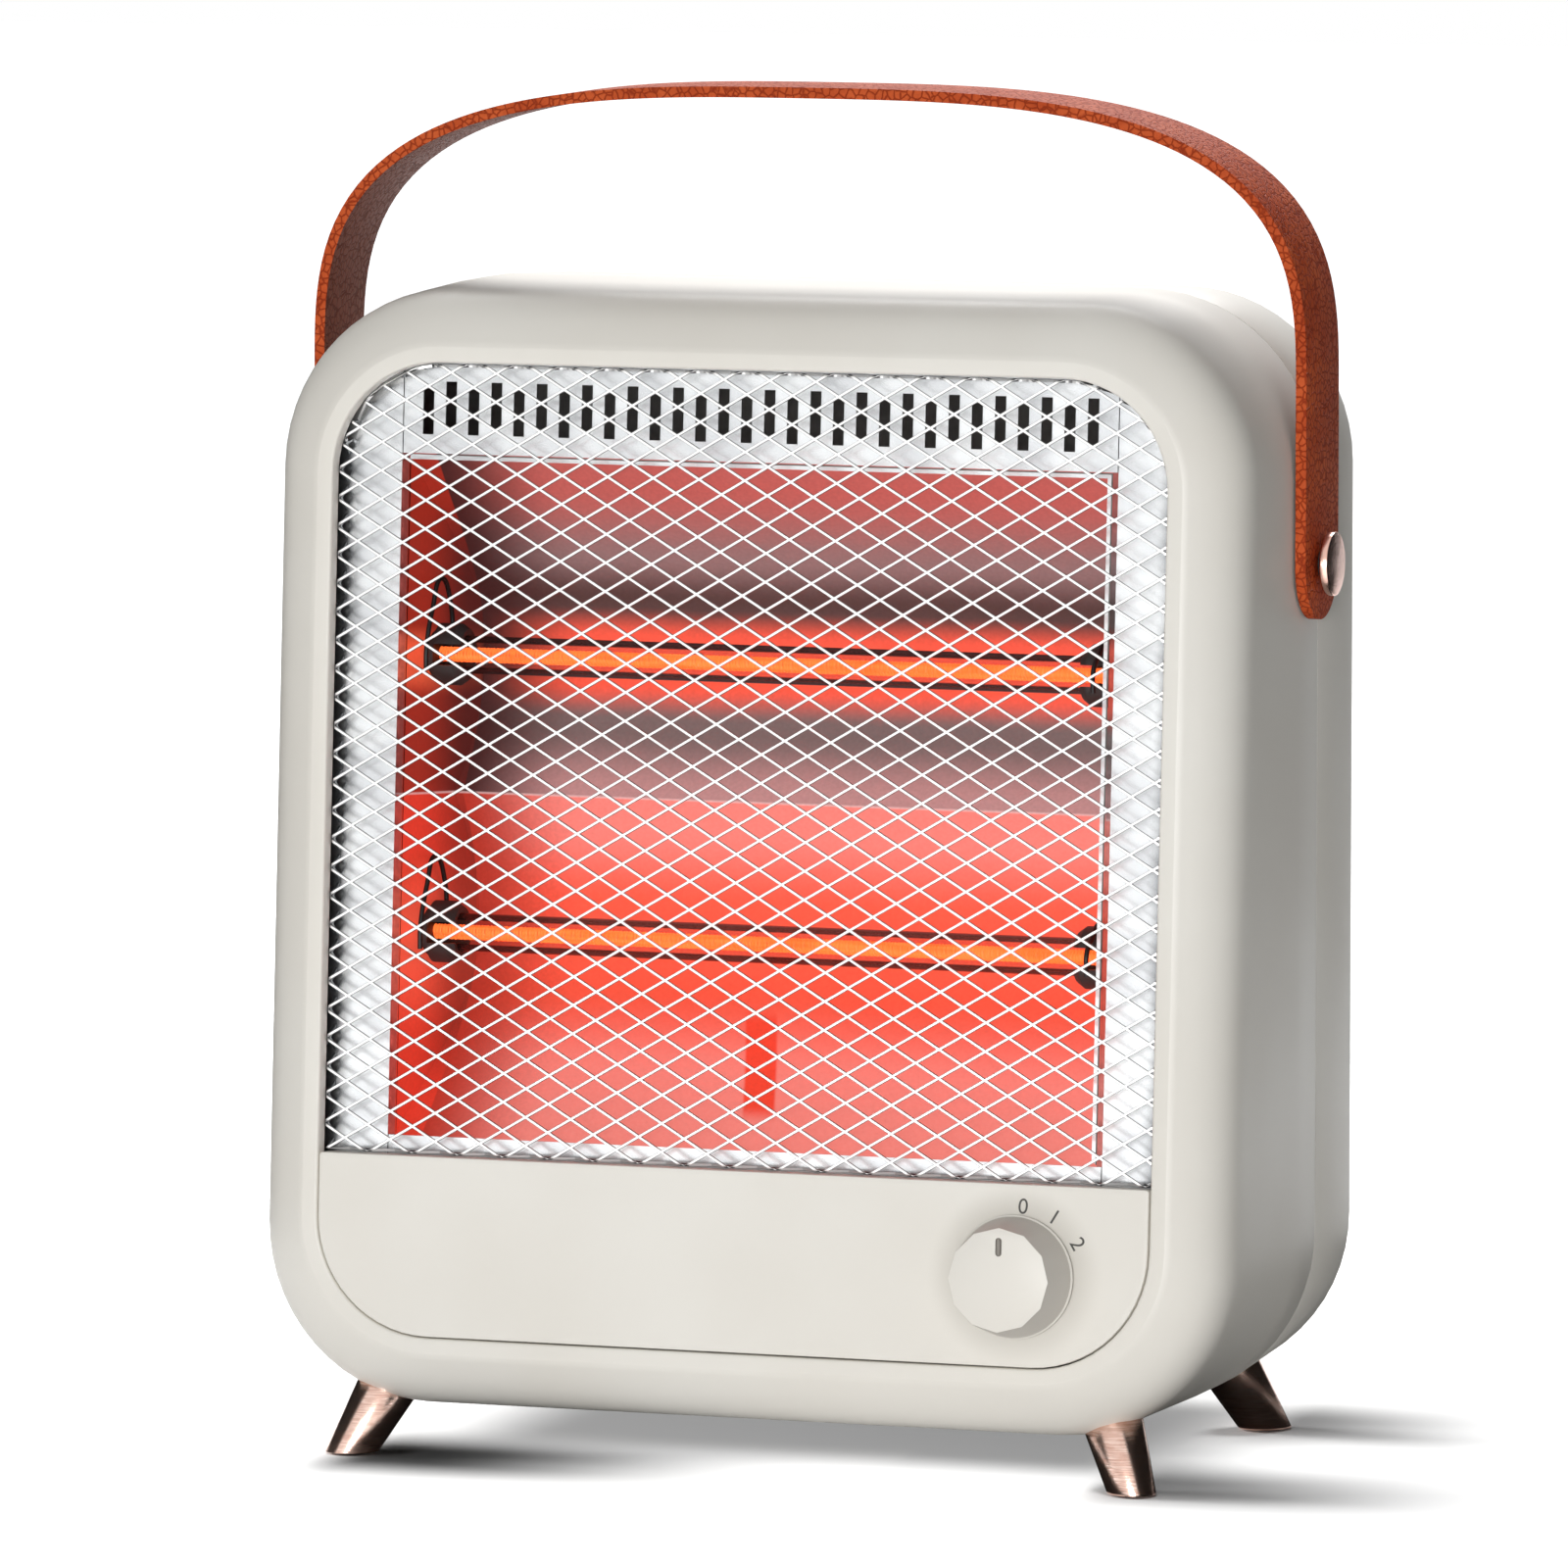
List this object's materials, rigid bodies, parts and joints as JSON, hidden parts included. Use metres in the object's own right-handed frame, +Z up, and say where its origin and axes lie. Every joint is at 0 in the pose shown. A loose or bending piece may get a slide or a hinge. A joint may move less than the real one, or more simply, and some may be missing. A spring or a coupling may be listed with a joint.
{
  "type": "portable electric radiant heater",
  "caption": "Compact standing radiant heater: rounded cream casing, mesh grille over glowing quartz tubes and a reflector, rotary knob, splayed metal legs and a leather carrying strap.",
  "frame": {"origin": "on the floor, under the middle of the whole heater", "axes": "+Z up, front of the heater towards -Y, +X to the right seen from the front"},
  "size_m": [0.3112, 0.1652, 0.3943],
  "materials": {
    "cream_shell": "satin",
    "cream_panel": "satin",
    "cream_knob": "satin",
    "bright_mesh": "bright expanded metal",
    "polished_face": "polished sheet",
    "reflector_sheet": "polished sheet in the glow of the tubes",
    "quartz_glass": "clear quartz",
    "glowing_core": "glowing",
    "dark_ceramic": "matte",
    "cream_ceramic": "matte",
    "black_wire": "black wire",
    "leather": "pebble grain",
    "rose_metal": "brushed rose-gold plating",
    "black_rubber": "matte",
    "black_plastic": "matte",
    "zinc_steel": "zinc plated",
    "red_wire": "silicone insulation"
  },
  "bodies": {
    "casing": {"bottom_plate": "polished_face", "cable_gland": "black_plastic", "casing_screw_lower_left": "zinc_steel", "casing_screw_lower_right": "zinc_steel", "casing_screw_upper_left": "zinc_steel", "casing_screw_upper_right": "zinc_steel", "control_panel": "cream_panel", "foot_pad_front_left": "black_rubber", "foot_pad_front_right": "black_rubber", "foot_pad_rear_left": "black_rubber", "foot_pad_rear_right": "black_rubber", "front_shell": "cream_shell", "handle_stud_left": "rose_metal", "handle_stud_right": "rose_metal", "heating_core_lower": "glowing_core", "heating_core_upper": "glowing_core", "leg_front_left": "rose_metal", "leg_front_right": "rose_metal", "leg_rear_left": "rose_metal", "leg_rear_right": "rose_metal", "mesh_grille": "bright_mesh", "plate_screw_lower_left": "zinc_steel", "plate_screw_lower_right": "zinc_steel", "plate_screw_upper_left": "zinc_steel", "plate_screw_upper_right": "zinc_steel", "quartz_tube_lower": "quartz_glass", "quartz_tube_upper": "quartz_glass", "rear_shell": "cream_shell", "reflector": "reflector_sheet", "reflector_end_left": "reflector_sheet", "reflector_end_right": "reflector_sheet", "rotary_switch": "black_plastic", "side_plate_left": "polished_face", "side_plate_right": "polished_face", "stud_nut_left": "zinc_steel", "stud_nut_right": "zinc_steel", "stud_spacer_left": "black_rubber", "stud_spacer_right": "black_rubber", "switch_nut": "zinc_steel", "terminal_block": "cream_ceramic", "thermal_cutout": "black_plastic", "tip_micro_switch": "black_plastic", "tip_switch_frame": "zinc_steel", "tube_clip_lower_left": "black_wire", "tube_clip_lower_right": "black_wire", "tube_clip_upper_left": "black_wire", "tube_clip_upper_right": "black_wire", "tube_holder_lower_left": "dark_ceramic", "tube_holder_lower_right": "dark_ceramic", "tube_holder_upper_left": "dark_ceramic", "tube_holder_upper_right": "dark_ceramic", "vent_plate": "polished_face", "wire_to_cutout": "black_plastic", "wire_to_switch": "red_wire", "wire_to_tube_lower": "red_wire", "wire_to_tube_upper": "red_wire"},
    "handle": {"handle_strap": "leather"},
    "knob": {"knob": "cream_knob", "knob_shaft": "zinc_steel"},
    "tip_pendulum": {"tip_switch_pendulum": "zinc_steel"}
  },
  "joints": [
    {"name": "handle_pivot", "type": "hinge", "parent": "casing", "child": "handle", "pos_m": [0, 0.01669, 0.26], "axis": [1, 0, 0], "range_deg": [-122, 120]},
    {"name": "knob_turn", "type": "hinge", "parent": "casing", "child": "knob", "pos_m": [0.0863, -0.066, 0.06215], "axis": [0, 0.9976, -0.0692], "range_deg": [0, 54]},
    {"name": "pendulum_swing", "type": "hinge", "parent": "casing", "child": "tip_pendulum", "pos_m": [0.008, 0.04939, 0.0543], "axis": [1, 0, 0], "range_deg": [-25, 25]}
  ]
}
